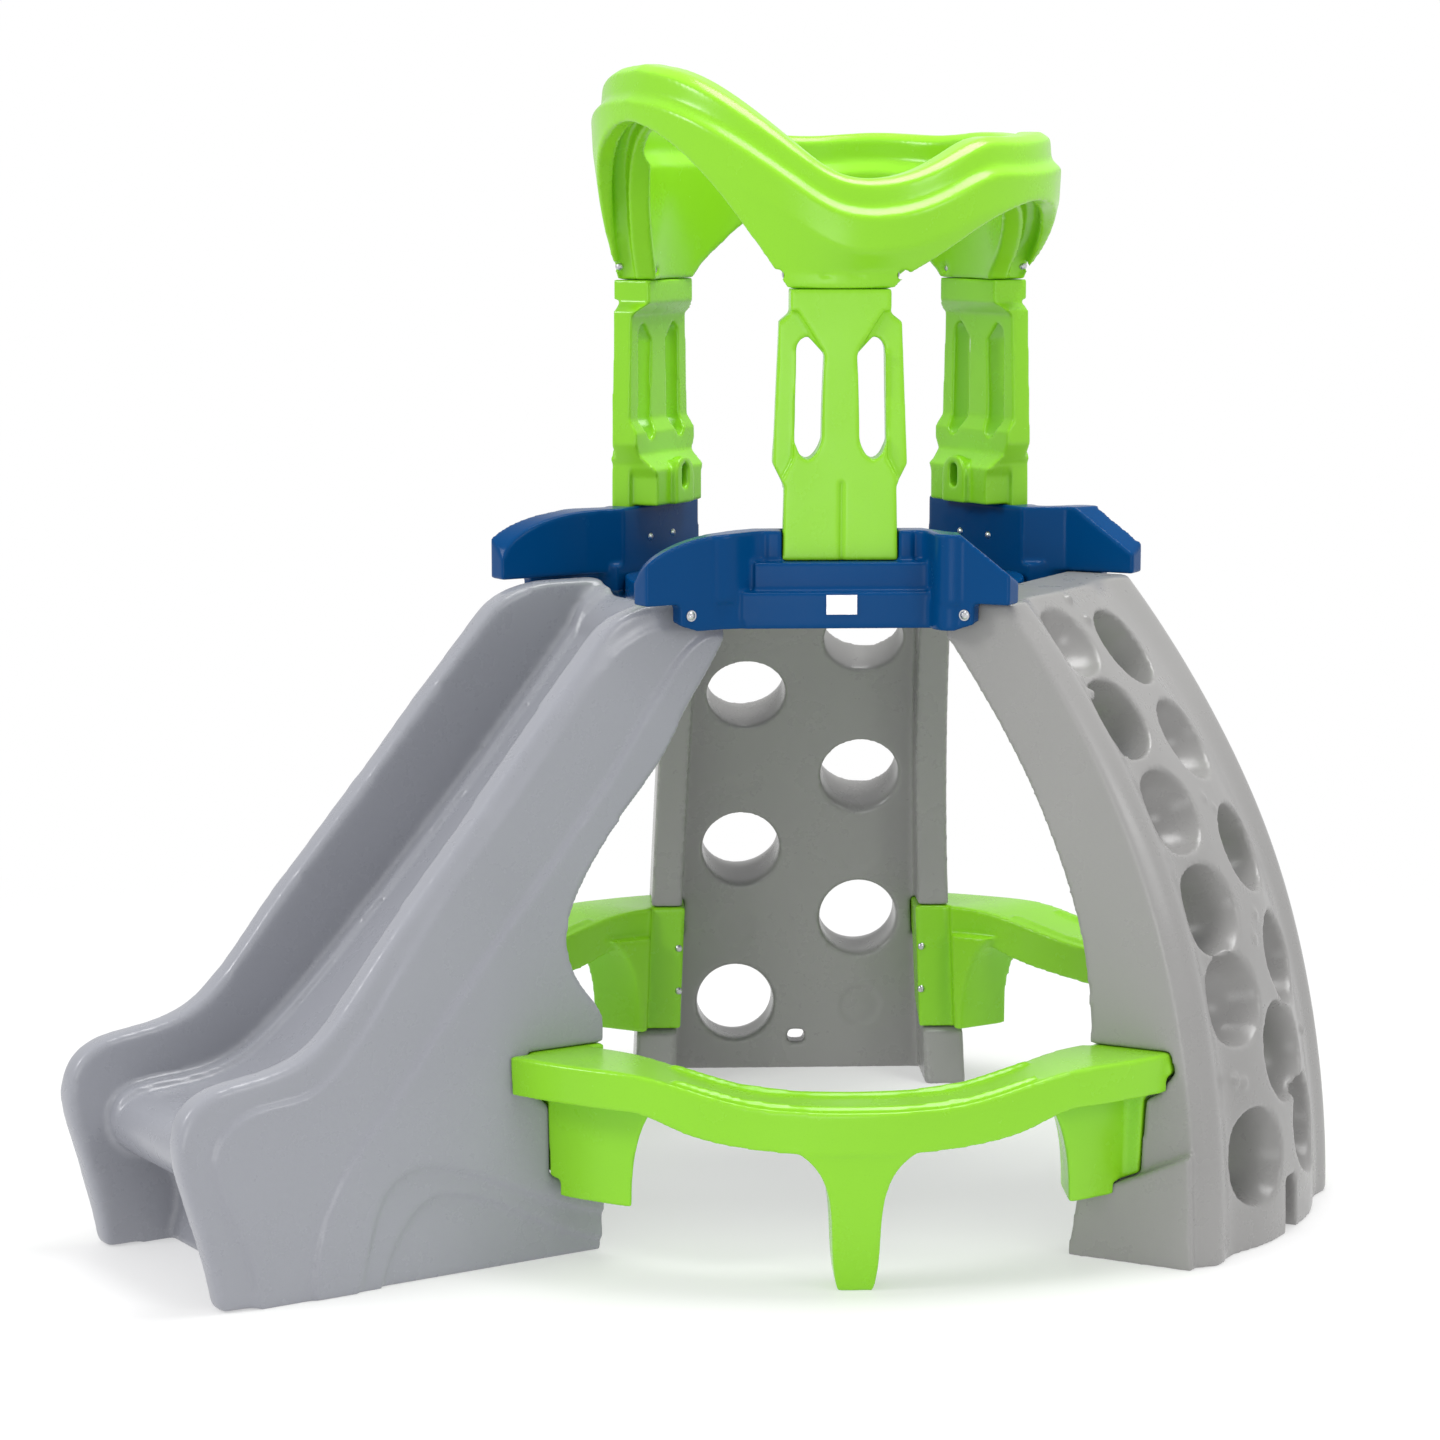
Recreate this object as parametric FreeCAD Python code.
"""Wave slide: a round climber with one slide, two climbing walls, a deck, three
guards and posts under a wavy crown, and three benches.

Every piece is drawn in its own station frame and then turned into place: r runs
outward from the climber's upright axis, t runs sideways (anticlockwise seen from
above) and z runs up. Six stations stand 60 degrees apart. Millimetres throughout.
"""
import math
import os
from collections import namedtuple

import FreeCAD, Part
from FreeCAD import Vector

# Driving dimensions
SLIDE_FRONT = 966.0        # furthest reach of the slide's side walls
SLIDE_FOOT = 186.0         # half of the slide's width at the floor
SLIDE_HEAD = 161.0         # and at the deck
SIDE_THICK = 46.0          # slide side wall, outer face to channel
WALL_FOOT = 215.0          # half of a climbing wall's width at the floor
WALL_HEAD = 185.0          # and at the deck
FLANGE = 42.0              # climbing wall's side flange
PANEL = 50.0               # climbing panel, inner face to ridge line
DECK_TOP = 757.0
DECK_UNDER = 722.0
DECK_R = 248.0             # deck edge where the slide and the walls hook on
GUARD_UNDER = 725.0
GUARD_TOP = 838.0
LEDGE = 802.0              # pocket floor that each post's tongue stands on
POST_IN = 216.0
POST_OUT = 266.0
POST_HALF = 59.0
POST_TOP = 1120.0
WALL_IN = 228.0            # crown's inner face above its legs
BENCH_IN = 484.0
BENCH_OUT = 583.0
SEAT_END = 249.0           # seat height at the bench ends
SEAT_DIP = 215.0           # seat height in the middle
NOTCH_LOW = 76.0           # notch in the slide and wall edges for the benches
NOTCH_HIGH = 249.0
HOLD_R = 53.0              # climbing hold, clear radius
SCREW_R = 2.5
STEP = 5.0                 # height of each step moulded into the slide's flanks
LEDGE_RISE = 9.0           # raised strip along each side of the slide's bed
LEDGE_WIDE = 20.0
PROUD = 14.0               # climbing wall's foot, off its side face
GAP = 0.4                  # clearance between neighbours

AXIS_Y = (SLIDE_FRONT - BENCH_OUT) / 2    # puts the origin under the box's middle

# Stations, degrees anticlockwise from +X
SLIDE_AT = -90.0
FRONT_AT = -30.0
RIGHT_WALL_AT = 30.0
BACK_RIGHT_AT = 90.0
REAR_WALL_AT = 150.0
BACK_LEFT_AT = 210.0

# Ridge line of a climbing wall: the outer corner of its flange, radius by height
RIDGE = [(583, 0), (577, 137), (554, 286), (510, 438), (440, 587), (359, 714), (326, DECK_TOP)]
BULGE = [46, 44, 40, 34, 22, 8, 4]    # how far the face stands out between the ridges

# Crown's rim height on the front and on the back side, and the arches under it, by
# degrees from the slide or from the middle of the arch
CROWN_RIM = [(1382, 0), (1374, 14), (1356, 25), (1332, 34), (1308, 42), (1281, 50), (1258, 57),
             (1247, 64), (1249, 73), (1261, 83), (1281, 92), (1296, 101), (1297, 118),
             (1303, 138), (1299, 160), (1303, 180)]
BACK_RIM = [(1382, 0), (1378, 14), (1368, 25), (1354, 38), (1340, 50), (1328, 62), (1318, 75),
            (1309, 90), (1301, 105), (1298, 118), (1303, 138), (1299, 160), (1303, 180)]
SLIDE_ARCH = [(47.6, 1110), (45, 1130), (36, 1194), (27, 1249), (18, 1286), (8, 1308), (0, 1314)]
WALL_ARCH = [(47.6, 1110), (45, 1127), (37, 1153), (27, 1183), (17, 1206), (7, 1218), (0, 1221)]
# and the groove between the arches' outer and inner lips
SLIDE_GROOVE = [(47.6, 1110), (46, 1140), (41.5, 1172), (38, 1212), (30, 1262), (20, 1300),
                (9, 1322), (0, 1328)]
WALL_GROOVE = [(47.6, 1110), (46.3, 1135), (43, 1158), (39, 1170), (29, 1197), (18, 1220),
               (7, 1232), (0, 1235)]

# What a guard or a bench meets on one side: half widths at floor and deck, side
# wall's thickness, how far the guard's wing reaches, where it is bolted, and the
# bench notch (inner edge, block's outer edge, seat's outer edge)
Neighbour = namedtuple("Neighbour", "foot head thick reach bolt_r curved seat")
SLIDE_SIDE = Neighbour(SLIDE_FOOT, SLIDE_HEAD, SIDE_THICK, 372, 312, True, (429, 503, 529))
WALL_SIDE = Neighbour(WALL_FOOT, WALL_HEAD, FLANGE + 4, 340, 284, False, (447, 517, 546))
WING = 24.0                # wing's outer face, off the neighbour's side face
BOLT_Z = 744.0
WASHER_R = 6.5

# Fastener places (r, t, z, heading) in their own stations
SLIDE_BOLTS = [(SLIDE_SIDE.bolt_r, way * (SLIDE_HEAD + WING), BOLT_Z, way * 90) for way in (1, -1)]
WALL_BOLTS = [(WALL_SIDE.bolt_r, way * (WALL_HEAD + WING), BOLT_Z, way * 90) for way in (1, -1)]
GUARD_SCREWS = [(230, -30, 797, 180), (230, 30, 797, 180)]
CROWN_SCREWS = [(254, 66, 1137, 105), (254, -66, 1137, -105), (POST_IN, 44, 1132, 180)]


# Drawing helpers

def side(t):
    """points (r, z) on the upright plane at sideways offset t"""
    return lambda r, z: Vector(r, t, z)


def plan(z):
    """points (r, t) on the level plane at height z"""
    return lambda r, t: Vector(r, t, z)


def front(r):
    """points (t, z) on the upright plane at radius r"""
    return lambda t, z: Vector(r, t, z)


def outline(place, runs):
    """closed wire; each run follows the last point before it, straight for one
    point and a smooth curve for more"""
    edges = []
    last = place(*runs[-1][-1])
    for run in runs:
        points = [last] + [place(*p) for p in run]
        if len(run) == 1:
            edges.append(Part.makeLine(points[0], points[1]))
        else:
            curve = Part.BSplineCurve()
            curve.interpolate(points)
            edges.append(curve.toShape())
        last = points[-1]
    return Part.Wire(edges)


def prism(place, runs, along):
    return Part.Face(outline(place, runs)).extrude(Vector(*along))


def corners(points):
    """runs for an outline with straight sides only"""
    return [[p] for p in points]


def block(r0, r1, t0, t1, z0, z1):
    return Part.makeBox(r1 - r0, t1 - t0, z1 - z0, Vector(r0, t0, z0))


def mirrored(shape):
    """the same shape on the other side of its station's middle plane"""
    return shape.mirror(Vector(0, 0, 0), Vector(0, 1, 0))


def both_sides(shape):
    return shape.fuse(mirrored(shape))


def solid_of(shape):
    """one clean solid out of a boolean's result"""
    clean = shape.removeSplitter()
    return max(clean.Solids, key=lambda s: s.Volume)


def stationed(shape, angle):
    turned = shape.copy()
    turned.rotate(Vector(0, 0, 0), Vector(0, 0, 1), angle)
    turned.translate(Vector(0, AXIS_Y, 0))
    return turned


def polar(r, degrees):
    turn = math.radians(degrees)
    return r * math.cos(turn), r * math.sin(turn)


def flanks(foot, head, grow=0.0):
    """everything between two side faces that lean in from foot to head"""
    lean = (foot - head) / DECK_TOP
    low, high = foot + 50 * lean + grow, head - 50 * lean + grow
    shape = corners([(-low, -50), (low, -50), (high, DECK_TOP + 50), (-high, DECK_TOP + 50)])
    return prism(front(0), shape, (1200, 0, 0))


def placed(shape, place):
    """a part drawn along +X at the origin, put at (r, t, z) facing heading degrees"""
    r, t, z, heading = place
    turned = shape.copy()
    turned.rotate(Vector(0, 0, 0), Vector(0, 0, 1), heading)
    turned.translate(Vector(r, t, z))
    return turned


def bored(body, places, seat=5.6):
    """the body with a shank hole and a flat seat for each fastener"""
    for place in places:
        hole = Part.makeCylinder(SCREW_R, 60, Vector(-60, 0, 0), Vector(1, 0, 0))
        spot = Part.makeCylinder(seat + 0.4, 14, Vector(0, 0, 0), Vector(1, 0, 0))
        body = body.cut(placed(hole.fuse(spot), place))
    return body


def between(table, z):
    """radius at height z on a line of (radius, height) points"""
    for (r0, z0), (r1, z1) in zip(table, table[1:]):
        if z0 <= z <= z1:
            return r0 + (r1 - r0) * (z - z0) / (z1 - z0)
    raise ValueError(z)


# Slide

def slide():
    panel = [
        [(921, 0)],
        [(938, 76), (955, 135), (SLIDE_FRONT, 193), (955, 228), (925, 250), (893, 257),
         (852, 263), (802, 281), (766, 313), (708, 384), (600, 508), (500, 625), (420, 716)],
        [(396, 738), (366, 751), (330, DECK_TOP)],
        [(DECK_R + GAP, DECK_TOP)],
        [(DECK_R + GAP, 716)],
        [(274, 674), (306, 629), (334, 584), (390, 519), (438, 459), (463, 415),
         (473, 380), (468, 345), (450, 313), (431, 287), (427, 262), (429, NOTCH_HIGH)],
        [(431, 0)],
    ]
    between_flanks = flanks(SLIDE_FOOT, SLIDE_HEAD)
    inside = flanks(SLIDE_FOOT, SLIDE_HEAD, -SIDE_THICK)
    body = prism(side(-300), panel, (0, 600, 0)).common(between_flanks)
    channel = [
        [(274, 731), (302, 693)],
        [(438, 530), (611, 341), (699, 253), (765, 206), (843, 191), (884, 187),
         (908, 176), (918, 155), (914, 130), (898, 110), (874, 100)],
        [(848, 88), (838, 0)],
        [(838, -10)],
        [(1100, -10)],
        [(1100, 900)],
        [(DECK_R - 5, 900)],
        [(DECK_R - 5, 742)],
    ]
    bed = prism(side(-300), channel, (0, 600, 0))
    body = body.cut(bed.common(flanks(SLIDE_FOOT, SLIDE_HEAD, -SIDE_THICK - LEDGE_WIDE)))
    bed.translate(Vector(0, 0, LEDGE_RISE))
    body = body.cut(bed.common(inside))
    under = [
        [(804, -10)],
        [(808, 100), (780, 152), (716, 192)],
        [(650, 252), (566, 344), (438, 486), (330, 606)],
        [(300, 640)],
        [(200, 640)],
        [(200, -10)],
    ]
    body = body.cut(prism(side(-300), under, (0, 600, 0)).common(inside))
    body = body.cut(both_sides(slide_notch()))
    return solid_of(bored(body.cut(slide_steps()), SLIDE_BOLTS))


def slide_notch():
    """room for a bench's end block in the side wall's rear edge"""
    seat = corners([(535, 222), (529, NOTCH_HIGH), (380, NOTCH_HIGH), (380, 62), (431, 74),
                    (503, 101), (503, 184), (519, 198)])
    return prism(side(SLIDE_HEAD - SIDE_THICK), seat, (0, 200, 0))


def slide_steps():
    """what the flanks are cut back by: first outside the long rib and inside the toe
    arch, then again outside the rim line and inside the smaller arch"""
    beyond = [[(1100, -5)], [(1100, 900)], [(100, 900)]]
    rib = [(270, 716), (300, 700), (332, 665), (400, 571), (520, 431), (612, 326), (716, 200),
           (767, 138), (796, 79), (810, -5)]
    rim = [(290, 727), (359, 725), (406, 700), (519, 570), (617, 459), (714, 326), (765, 264),
           (803, 235), (880, 222), (919, 194), (912, 125), (887, -5)]
    arch = [(432, 48), (523, 82), (621, 123), (672, 133), (711, 116), (737, 65), (757, -5)]
    toe = [(432, 15), (523, 53), (621, 94), (654, 96), (686, 74), (718, 21), (725, -5)]
    slide_flanks = flanks(SLIDE_FOOT, SLIDE_HEAD, 5)
    cuts = []
    for line, inner, depth in ((rib, arch, STEP), (rim, toe, 2 * STEP)):
        outside = [[(100, line[0][1])], [line[0]], line[1:]] + beyond
        inside = [[(400, inner[0][1])], [inner[0]], inner[1:], [(400, -5)]]
        skin = slide_flanks.cut(flanks(SLIDE_FOOT, SLIDE_HEAD, -depth))
        for shape in (outside, inside):
            cuts.append(prism(side(-300), shape, (0, 600, 0)).common(skin))
    return cuts[0].multiFuse(cuts[1:])


# Climbing walls

def wall_section(ridge, z, bulge):
    """level section: flat back, outer face with a raised rail beside each ridge"""
    half = WALL_FOOT + (WALL_HEAD - WALL_FOOT) * z / DECK_TOP

    def face(inset, rail):
        t = half - inset
        return ridge + bulge * (1 - (t / half) ** 2) + rail, t
    profile = [face(0, 0), face(11, 8), face(26, 12), face(42, 7), face(58, 0), face(115, 0)]
    right = [(r, -t) for r, t in profile]
    left = list(reversed(profile))
    curve = right[1:] + [(ridge + bulge, 0)] + left
    return outline(plan(z), [[right[0]], curve, [(150, half)], [(150, -half)]])


def hold_cutter(depth):
    """turned cutter for one hold, opening outward along +X with flared lips;
    depth below the ridge line, or None for a hold that goes right through"""
    if depth is None:
        profile = [[(-PANEL + 14, HOLD_R)],
                   [(-PANEL + 4, HOLD_R + 2), (-PANEL - 6, HOLD_R + 10)],
                   [(-150, HOLD_R + 10)], [(-150, 0)], [(90, 0)], [(90, HOLD_R + 16)],
                   [(40, HOLD_R + 8)], [(26, HOLD_R + 3), (8, HOLD_R)]]
    else:
        profile = [[(-depth, 0)], [(90, 0)], [(90, HOLD_R + 16)], [(40, HOLD_R + 8)],
                   [(22, HOLD_R + 2), (0, HOLD_R - 6), (-depth + 12, 34), (-depth, 16)]]
    face = Part.Face(outline(lambda x, y: Vector(x, y, 0), profile))
    return face.revolve(Vector(0, 0, 0), Vector(1, 0, 0), 360)


def climbing_wall(through, blind):
    """one wall; through and blind are lists of hold places (t, height on the ridge)"""
    sections = [wall_section(r, z, bulge) for (r, z), bulge in zip(RIDGE, BULGE)]
    body = Part.makeLoft(sections, True, False).fuse(both_sides(wall_foot()))
    inner_edge = [
        [(441, 72), (447, NOTCH_HIGH)],
        [(443, 308), (431, 375), (410, 440), (378, 515), (340, 585), (295, 654), (257, 706)],
        [(DECK_R + GAP, 716)],
        [(DECK_R + GAP, 800)],
        [(100, 800)],
        [(100, -10)],
        [(429, -10)],
    ]
    body = body.cut(prism(side(-300), inner_edge, (0, 600, 0)))
    back = [(r - PANEL, z) for r, z in RIDGE[1:-2]]
    recess = [back, [(322, 690)], [(100, 690)], [(100, -10)], [(535, -10)]]
    hollow = prism(side(-300), recess, (0, 600, 0)).common(flanks(WALL_FOOT, WALL_HEAD, -FLANGE))
    body = body.cut(hollow).cut(both_sides(wall_notch()))
    for holds, depth in ((through, None), (blind, 28.0)):
        for t, z in holds:
            body = body.cut(at_ridge(hold_cutter(depth), t, z))
    for t, z in blind:
        dimple = Part.makeCylinder(29, 40, Vector(-PANEL - 36, 0, 0), Vector(1, 0, 0))
        body = body.cut(at_ridge(dimple, t, z))
    body = body.cut(block(480, 700, -12, 12, 37, 55)).cut(block(572, 700, -22, 12, -5, 66))
    return solid_of(bored(body, WALL_BOLTS))


def wall_foot():
    """foot of a flange, standing proud of its side face"""
    cheek = corners([(429, 0), (441, 72), (513, 103), (580, 134), (586, 0)])
    return prism(side(150), cheek, (0, 200, 0)).common(flanks(WALL_FOOT, WALL_HEAD, PROUD))


def at_ridge(shape, t, z):
    """lay a cutter drawn along +X square to the wall's slope at height z"""
    slope = (between(RIDGE, z - 12) - between(RIDGE, z + 12)) / 24
    shape.rotate(Vector(0, 0, 0), Vector(0, 1, 0), -math.degrees(math.atan(slope)))
    shape.translate(Vector(between(RIDGE, z), t, z))
    return shape


def wall_notch():
    seat = corners([(552, 225), (546, NOTCH_HIGH), (380, NOTCH_HIGH), (380, 60), (441, 72),
                    (513, 103), (518, 191), (532, 199)])
    return prism(side(100), seat, (0, 200, 0)).cut(flanks(WALL_FOOT, WALL_HEAD, -FLANGE - 5))


# Deck and guards

def deck():
    body = Part.makeCylinder(DECK_R, DECK_TOP - DECK_UNDER, Vector(0, 0, DECK_UNDER))
    for angle in (FRONT_AT, BACK_RIGHT_AT, BACK_LEFT_AT):
        lobe = block(150, 268, -82, 82, DECK_UNDER, DECK_TOP)
        lobe.rotate(Vector(0, 0, 0), Vector(0, 0, 1), angle)
        body = body.fuse(lobe)
        foot = block(229 - GAP, 300, -130, 130, DECK_UNDER + 12, 900)
        foot.rotate(Vector(0, 0, 0), Vector(0, 0, 1), angle)
        body = body.cut(foot)
    groove = Part.makeTorus(DECK_R - 60, 4, Vector(0, 0, DECK_TOP + 1))
    return solid_of(body.cut(groove))


def guard_centre():
    """stepped middle of a guard, with the pocket for the post's tongue"""
    body = block(230, 288, -116, 116, GUARD_UNDER + 10, GUARD_UNDER + 14)
    for half, low, high, reach in ((116, GUARD_UNDER + 10, 768, 292), (102, 768, LEDGE, 281),
                                   (85, LEDGE, GUARD_TOP, 268)):
        body = body.fuse(block(230, reach, -half, half, low, high))
    skirt = prism(plan(GUARD_UNDER), corners([(271, -122), (292, -114), (292, 114), (271, 122)]),
                  (0, 0, 20))
    pocket = block(240, 300, -POST_HALF - 10, POST_HALF + 10, LEDGE, GUARD_TOP + 5)
    return body.fuse(skirt).cut(pocket)


def beside(half, r, offset):
    """a place r out along the +t neighbour and offset off its side face, in the
    (r, t) of the station between"""
    t = half + offset
    return r * 0.5 + t * math.sqrt(0.75), r * math.sqrt(0.75) - t * 0.5


def guard_wing(edge):
    """wing on the +t side: it runs out beside the neighbour's side face and stands
    on its top; curved over the slide, sloped over a climbing wall"""
    def at(r, offset):
        return beside(edge.head, r, offset)
    upper_plan = [[(230, 100)], [(230, 78)], [(264, 78)],
                  [(270, 98), at(250, 30), at(282, 25)],
                  [at(edge.reach, WING)], [at(edge.reach, -6)], [at(250, -6)]]
    lower_plan = [[(240, 100)], [(240, 84)], [(272, 84)],
                  [(284, 100), at(250, 30), at(278, 25)],
                  [at(edge.reach - 46, WING)], [at(edge.reach - 46, 4)], [at(234, 4)]]
    tip = at(edge.reach, 0)[1]
    if edge.curved:
        top = [[(60, GUARD_TOP)], [(108, GUARD_TOP), (tip - 62, 831), (tip - 28, 818),
                                   (tip - 6, 800), (tip, 786)]]
    else:
        top = [[(60, GUARD_TOP)], [(tip - 66, GUARD_TOP)], [(tip, 784)]]
    upper = top + [[(tip + 60, 780)], [(tip + 60, DECK_TOP + GAP)], [(60, DECK_TOP + GAP)]]
    lower = corners([(60, GUARD_UNDER), (tip - 72, GUARD_UNDER), (tip - 36, 738),
                     (tip - 20, DECK_TOP + GAP), (60, DECK_TOP + GAP)])
    wing = prism(plan(700), upper_plan, (0, 0, 200)).common(prism(front(150), upper, (300, 0, 0)))
    flap = prism(plan(700), lower_plan, (0, 0, 200)).common(prism(front(150), lower, (300, 0, 0)))
    return wing.fuse(flap)


def guard(plus, minus):
    """guard between its +t and -t neighbours"""
    body = guard_centre().fuse(guard_wing(plus)).fuse(mirrored(guard_wing(minus)))
    return solid_of(bored(body, guard_bolt_places(plus, minus) + GUARD_SCREWS, WASHER_R))


def guard_bolt_places(plus, minus):
    """one bolt near each wing's tip, square to the neighbour's side face"""
    places = []
    for edge, way in ((plus, 1), (minus, -1)):
        r, t = beside(edge.head, edge.bolt_r, WING)
        places.append((r, way * t, BOLT_Z, way * -30))
    return places


def badge_plate():
    """blank plate on the front guard"""
    return block(292, 293.5, -18, 18, 742, 765)


# Posts and crown

def post():
    half = [(POST_HALF, 1092), (72, 1082), (79, 916), (66, 890), (68, LEDGE + GAP)]
    shape = [(-t, z) for t, z in reversed(half)] + [(-POST_HALF, POST_TOP), (POST_HALF, POST_TOP)]
    body = prism(front(POST_IN - 14), corners(shape + half), (POST_OUT - POST_IN + 14, 0, 0))
    edge = corners([(POST_OUT, LEDGE - 5), (POST_OUT, POST_TOP + 5), (POST_IN, POST_TOP + 5),
                    (POST_IN, 1092), (234, 1075), (234, 946), (224, 930), (224, 902),
                    (204, 884), (204, GUARD_TOP + GAP), (240 + GAP, GUARD_TOP + GAP),
                    (240 + GAP, LEDGE - 5)])
    body = body.common(prism(side(-100), edge, (0, 200, 0)))
    window = [[(19, 1044)], [(21, 1000), (22, 950)], [(26, 934), (37, 922), (49, 929)],
              [(54, 942)], [(52, 1048)], [(47, 1061), (38, 1065)]]
    body = body.cut(both_sides(prism(front(150), window, (200, 0, 0))))
    hips = prism(front(150), corners([(81, 888), (66.5, 888), (60, 874), (60, GUARD_TOP),
                                      (81, GUARD_TOP)]), (240 - 150, 0, 0))
    body = body.cut(both_sides(hips))
    return solid_of(body.fuse(post_boss()).cut(post_socket()).cut(both_sides(post_setback())))


def post_setback():
    """what the hand bars stand back by, beside the wedge above and the block below"""
    shape = corners([(19, 1046), (50, 1095), (90, 1095), (90, 896), (69, 896), (55, 924),
                     (53, 1048)])
    return prism(front(POST_OUT - 7), shape, (12, 0, 0))


def post_boss():
    """round-topped boss on the inner face, just above the guard"""
    cap = Part.makeCylinder(24, 14, Vector(196, 0, 874), Vector(1, 0, 0))
    return cap.fuse(block(196, 210, -24, 24, GUARD_TOP + GAP, 874))


def post_socket():
    """oval socket in the boss and the groove down the outer tongue"""
    socket = block(190, 220, -8, 8, 866, 880)
    for z in (866, 880):
        socket = socket.fuse(Part.makeCylinder(8, 30, Vector(190, 0, z), Vector(1, 0, 0)))
    return socket.fuse(block(POST_OUT - 3, POST_OUT + 5, -1, 4, LEDGE - 5, 896))


def crown_section(rim, angle):
    """upright section of the ring, degrees from the slide: flared outer face,
    ledge and thick rim"""
    top = between(rim, angle)
    column = min(1262, top - 50)
    flare = 288.0
    low = POST_TOP + GAP
    points = [(POST_IN, low), (POST_IN, column), (WALL_IN, column + 16), (WALL_IN, top - 8),
              (WALL_IN + 8, top), (flare - 26, top), (flare - 14, top - 8), (flare - 12, top - 33),
              (flare, top - 44), (flare - 2, top - 84), (POST_OUT + 2, low + 20), (POST_OUT, low)]
    turn = math.radians(angle)

    def place(r, z):
        return Vector(r * math.cos(turn), r * math.sin(turn), z)
    return outline(place, corners(points))


def arch_cutter(arch):
    """wedge that spreads from the axis, so that each leg keeps square sides"""
    def opening(r):
        half = [(r * math.tan(math.radians(angle)), z) for angle, z in arch]
        left = [(-t, z) for t, z in half]
        return outline(front(r), [[left[0]], left[1:] + half[-2::-1]])
    return Part.makeLoft([opening(120), opening(400)], True, True)


def crown():
    """ring with a wavy rim and three arches under it"""
    front_half, back_half = (
        Part.makeLoft([crown_section(rim, angle) for angle in range(0, 181, 10)], True, False)
        for rim in (CROWN_RIM, BACK_RIM))
    body = front_half.fuse(mirrored(back_half))
    lips = Part.makeCylinder(262, 400, Vector(0, 0, 1000)).cut(
        Part.makeCylinder(243, 400, Vector(0, 0, 1000)))
    for arch, groove, angle in ((SLIDE_ARCH, SLIDE_GROOVE, 0), (WALL_ARCH, WALL_GROOVE, 120),
                                (WALL_ARCH, WALL_GROOVE, -120)):
        wedge = arch_cutter(arch).fuse(arch_cutter(groove).common(lips))
        wedge.rotate(Vector(0, 0, 0), Vector(0, 0, 1), angle)
        body = body.cut(wedge)
    for angle in (-60, 60, 180):
        body.rotate(Vector(0, 0, 0), Vector(0, 0, 1), -angle)
        body = bored(body, CROWN_SCREWS)
        body.rotate(Vector(0, 0, 0), Vector(0, 0, 1), angle)
    return solid_of(body)


# Benches

def bench_seat():
    """curved seat on one middle leg, running on past both neighbours"""
    ring = Part.makeCylinder(BENCH_OUT, 400).cut(Part.makeCylinder(BENCH_IN, 400))
    top = [(272, SEAT_END - GAP), (246, 247), (199, 238), (131, 222), (70, 216), (0, SEAT_DIP),
           (-70, 216), (-131, 222), (-199, 238), (-246, 247), (-272, SEAT_END - GAP),
           (-300, SEAT_END - GAP)]
    low = [(-230, 198), (-199, 186), (-141, 173), (-71, 167), (0, 166), (71, 167), (141, 173),
           (199, 186), (230, 198), (252, 203)]
    band = [low, [(700, 203)], [(700, SEAT_END - GAP)], [(300, SEAT_END - GAP)], top,
            [(-700, SEAT_END - GAP)], [(-700, 203)], [(-252, 203)]]
    seat = ring.common(prism(front(0), band, (700, 0, 0)))
    return seat.fuse(bench_leg())


def bench_leg():
    shape = [[(-40, 137), (-27, 49), (-20, 0)], [(20, 0)], [(27, 49), (40, 137), (72, 170)],
             [(-72, 170)]]
    lean = corners([(504, 0), (549, 0), (572, 120), (580, 170), (496, 170)])
    return prism(front(0), shape, (700, 0, 0)).common(prism(side(-90), lean, (0, 180, 0)))


def bench_knees():
    """the two arched blocks under the seat's ends"""
    ring = Part.makeCylinder(538, 400).cut(Part.makeCylinder(BENCH_IN - 12, 400))
    shape = [[(700, NOTCH_LOW + 3)], [(700, 210)], [(216, 210)],
             [(235, 184), (245, 155), (250, 126), (252, NOTCH_LOW + 3)]]
    return ring.common(both_sides(prism(front(0), shape, (700, 0, 0))))


def bench(plus, minus):
    """a bench trimmed to its neighbours' side faces and reaching into their notches"""
    body = bench_seat().fuse(bench_knees())
    for edge, way in ((plus, 1), (minus, -1)):
        keep_out = flanks(edge.foot, edge.head, GAP).fuse(foot_room(edge))
        keep_out.rotate(Vector(0, 0, 0), Vector(0, 0, 1), 60 * way)
        body = body.cut(keep_out)
        end = end_block(edge) if way < 0 else mirrored(end_block(edge))
        end.rotate(Vector(0, 0, 0), Vector(0, 0, 1), 60 * way)
        body = body.fuse(end)
    return solid_of(body)


def foot_room(edge):
    """room for a climbing wall's foot, on the side the bench comes from"""
    room = corners([(380, -5), (380, 60), (441, 74), (513, 105), (580, 136), (640, 136), (640, -5)])
    return prism(side(-300), room, (0, 600, 0)).common(flanks(edge.foot, edge.head, PROUD + GAP))


def end_block(edge):
    """the block that fills a neighbour's notch, in the neighbour's own frame"""
    inner, mid, outer = edge.seat
    shape = corners([(outer + 3, 226), (outer - 2, SEAT_END - GAP), (inner, SEAT_END - GAP),
                     (inner, NOTCH_LOW + 1), (mid - 5, NOTCH_LOW + 28), (mid - 2, 192),
                     (mid + 8, 202)])
    deep = flanks(edge.foot, edge.head, 2).cut(flanks(edge.foot, edge.head, -edge.thick))
    body = prism(side(100), shape, (0, 200, 0)).common(deep)
    return bored(body, bench_screw_places(edge))


def bench_screw_places(edge):
    """two screws in a block's inner face, in the neighbour's own frame"""
    t = (edge.foot + edge.head) / 2 - edge.thick + 14
    return [(edge.seat[0], t, z, 180) for z in (131, 191)]


# Fasteners

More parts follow.
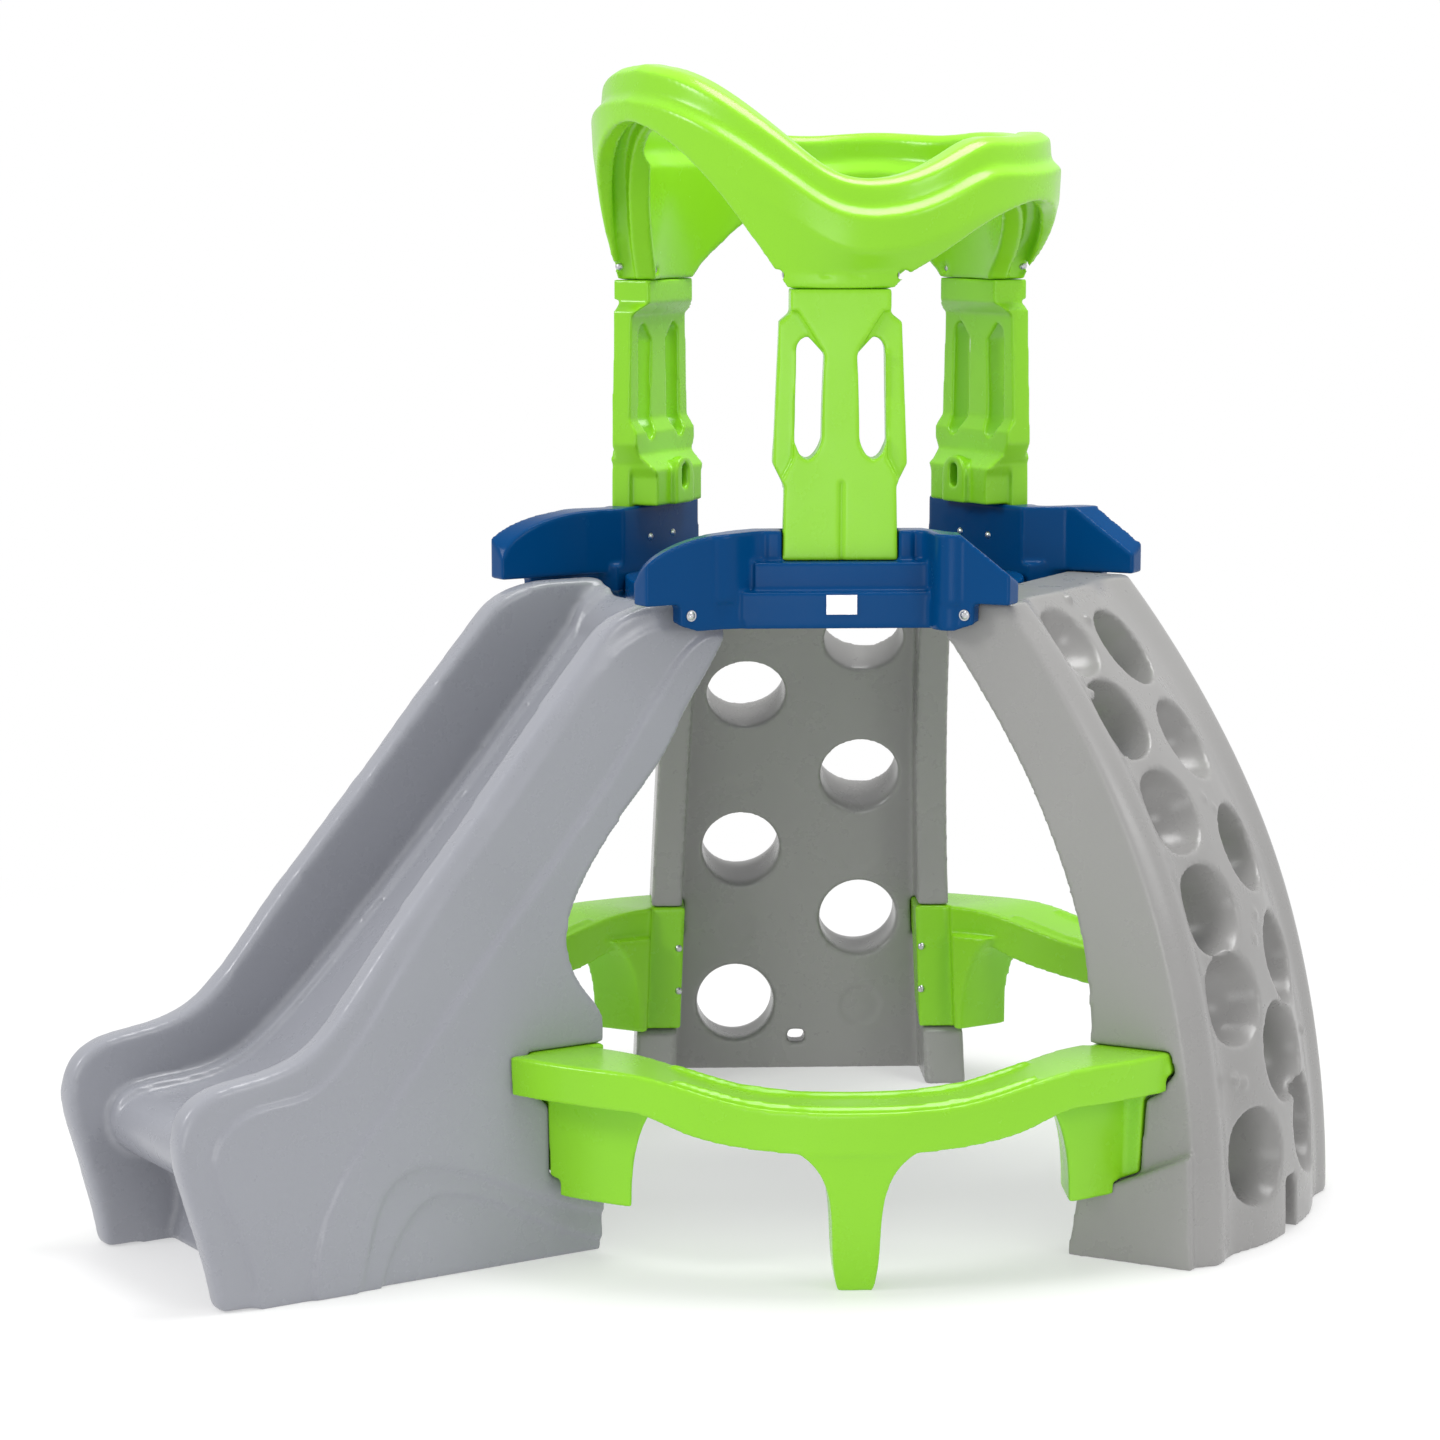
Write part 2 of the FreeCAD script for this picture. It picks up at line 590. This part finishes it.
def pan_screw(length):
    """screw along +X: shank behind the origin, domed head in front"""
    shank = Part.makeCylinder(SCREW_R - 0.1, length + 1, Vector(-length, 0, 0), Vector(1, 0, 0))
    dome = Part.makeSphere(5.7, Vector(-2.7, 0, 0)).common(block(0, 20, -20, 20, -20, 20))
    drive = block(1.6, 20, -0.7, 0.7, -2.5, 2.5).fuse(block(1.6, 20, -2.5, 2.5, -0.7, 0.7))
    return solid_of(dome.cut(drive).fuse(shank))


def washer():
    ring = Part.makeCylinder(WASHER_R, 1.6, Vector(0, 0, 0), Vector(1, 0, 0))
    return ring.cut(Part.makeCylinder(SCREW_R + 0.2, 4, Vector(-1, 0, 0), Vector(1, 0, 0)))


def write(name, shapes):
    solids = [solid for shape in shapes for solid in shape.Solids]
    whole = solids[0] if len(solids) == 1 else Part.makeCompound(solids)
    whole.exportStep(f"parts/{name}.step")


def write_fasteners():
    """screws, bolts and washers, each kind in one node"""
    bolts, washers, guard_screws, crown_screws, bench_screws = [], [], [], [], []
    for angle, plus, minus in ((FRONT_AT, WALL_SIDE, SLIDE_SIDE), (BACK_RIGHT_AT, WALL_SIDE, WALL_SIDE),
                               (BACK_LEFT_AT, SLIDE_SIDE, WALL_SIDE)):
        for r, t, z, heading in guard_bolt_places(plus, minus):
            washers.append(stationed(placed(washer(), (r, t, z, heading)), angle))
            out = Vector(1.6, 0, 0)
            bolt = pan_screw(46)
            bolt.translate(out)
            bolts.append(stationed(placed(bolt, (r, t, z, heading)), angle))
        guard_screws += [stationed(placed(pan_screw(14), place), angle) for place in GUARD_SCREWS]
        crown_screws += [stationed(placed(pan_screw(14), place), angle) for place in CROWN_SCREWS]
    for angle, edge in ((SLIDE_AT, SLIDE_SIDE), (RIGHT_WALL_AT, WALL_SIDE), (REAR_WALL_AT, WALL_SIDE)):
        for place in bench_screw_places(edge):
            screw = placed(pan_screw(14), place)
            bench_screws += [stationed(screw, angle), stationed(mirrored(screw), angle)]
    write("guard_bolts", bolts)
    write("guard_bolt_washers", washers)
    write("guard_screws", guard_screws)
    write("crown_screws", crown_screws)
    write("bench_screws", bench_screws)


def main():
    os.makedirs("parts", exist_ok=True)
    write("slide", [stationed(slide(), SLIDE_AT)])
    right = climbing_wall([(-95, 612), (-92, 391), (-92, 107), (34, 681), (52, 440), (12, 208)],
                          [(-95, 704), (-92, 503), (-95, 288), (40, 572), (74, 306), (76, 114)])
    rear = climbing_wall([(77, 567), (80, 334), (86, 98), (-79, 652), (-82, 449), (-85, 226)],
                         [(72, 657), (77, 452), (86, 213), (-79, 550), (-82, 329), (-90, 92)])
    write("right_climbing_wall", [stationed(right, RIGHT_WALL_AT)])
    write("rear_climbing_wall", [stationed(rear, REAR_WALL_AT)])
    write("deck", [stationed(deck(), 0)])
    for name, angle, plus, minus in (("front", FRONT_AT, WALL_SIDE, SLIDE_SIDE),
                                     ("back_right", BACK_RIGHT_AT, WALL_SIDE, WALL_SIDE),
                                     ("back_left", BACK_LEFT_AT, SLIDE_SIDE, WALL_SIDE)):
        write(name + "_guard", [stationed(guard(plus, minus), angle)])
        write(name + "_post", [stationed(post(), angle)])
        write(name + "_bench", [stationed(bench(plus, minus), angle)])
    write("badge_plate", [stationed(badge_plate(), FRONT_AT)])
    write("crown", [stationed(crown(), SLIDE_AT)])
    write_fasteners()


main()
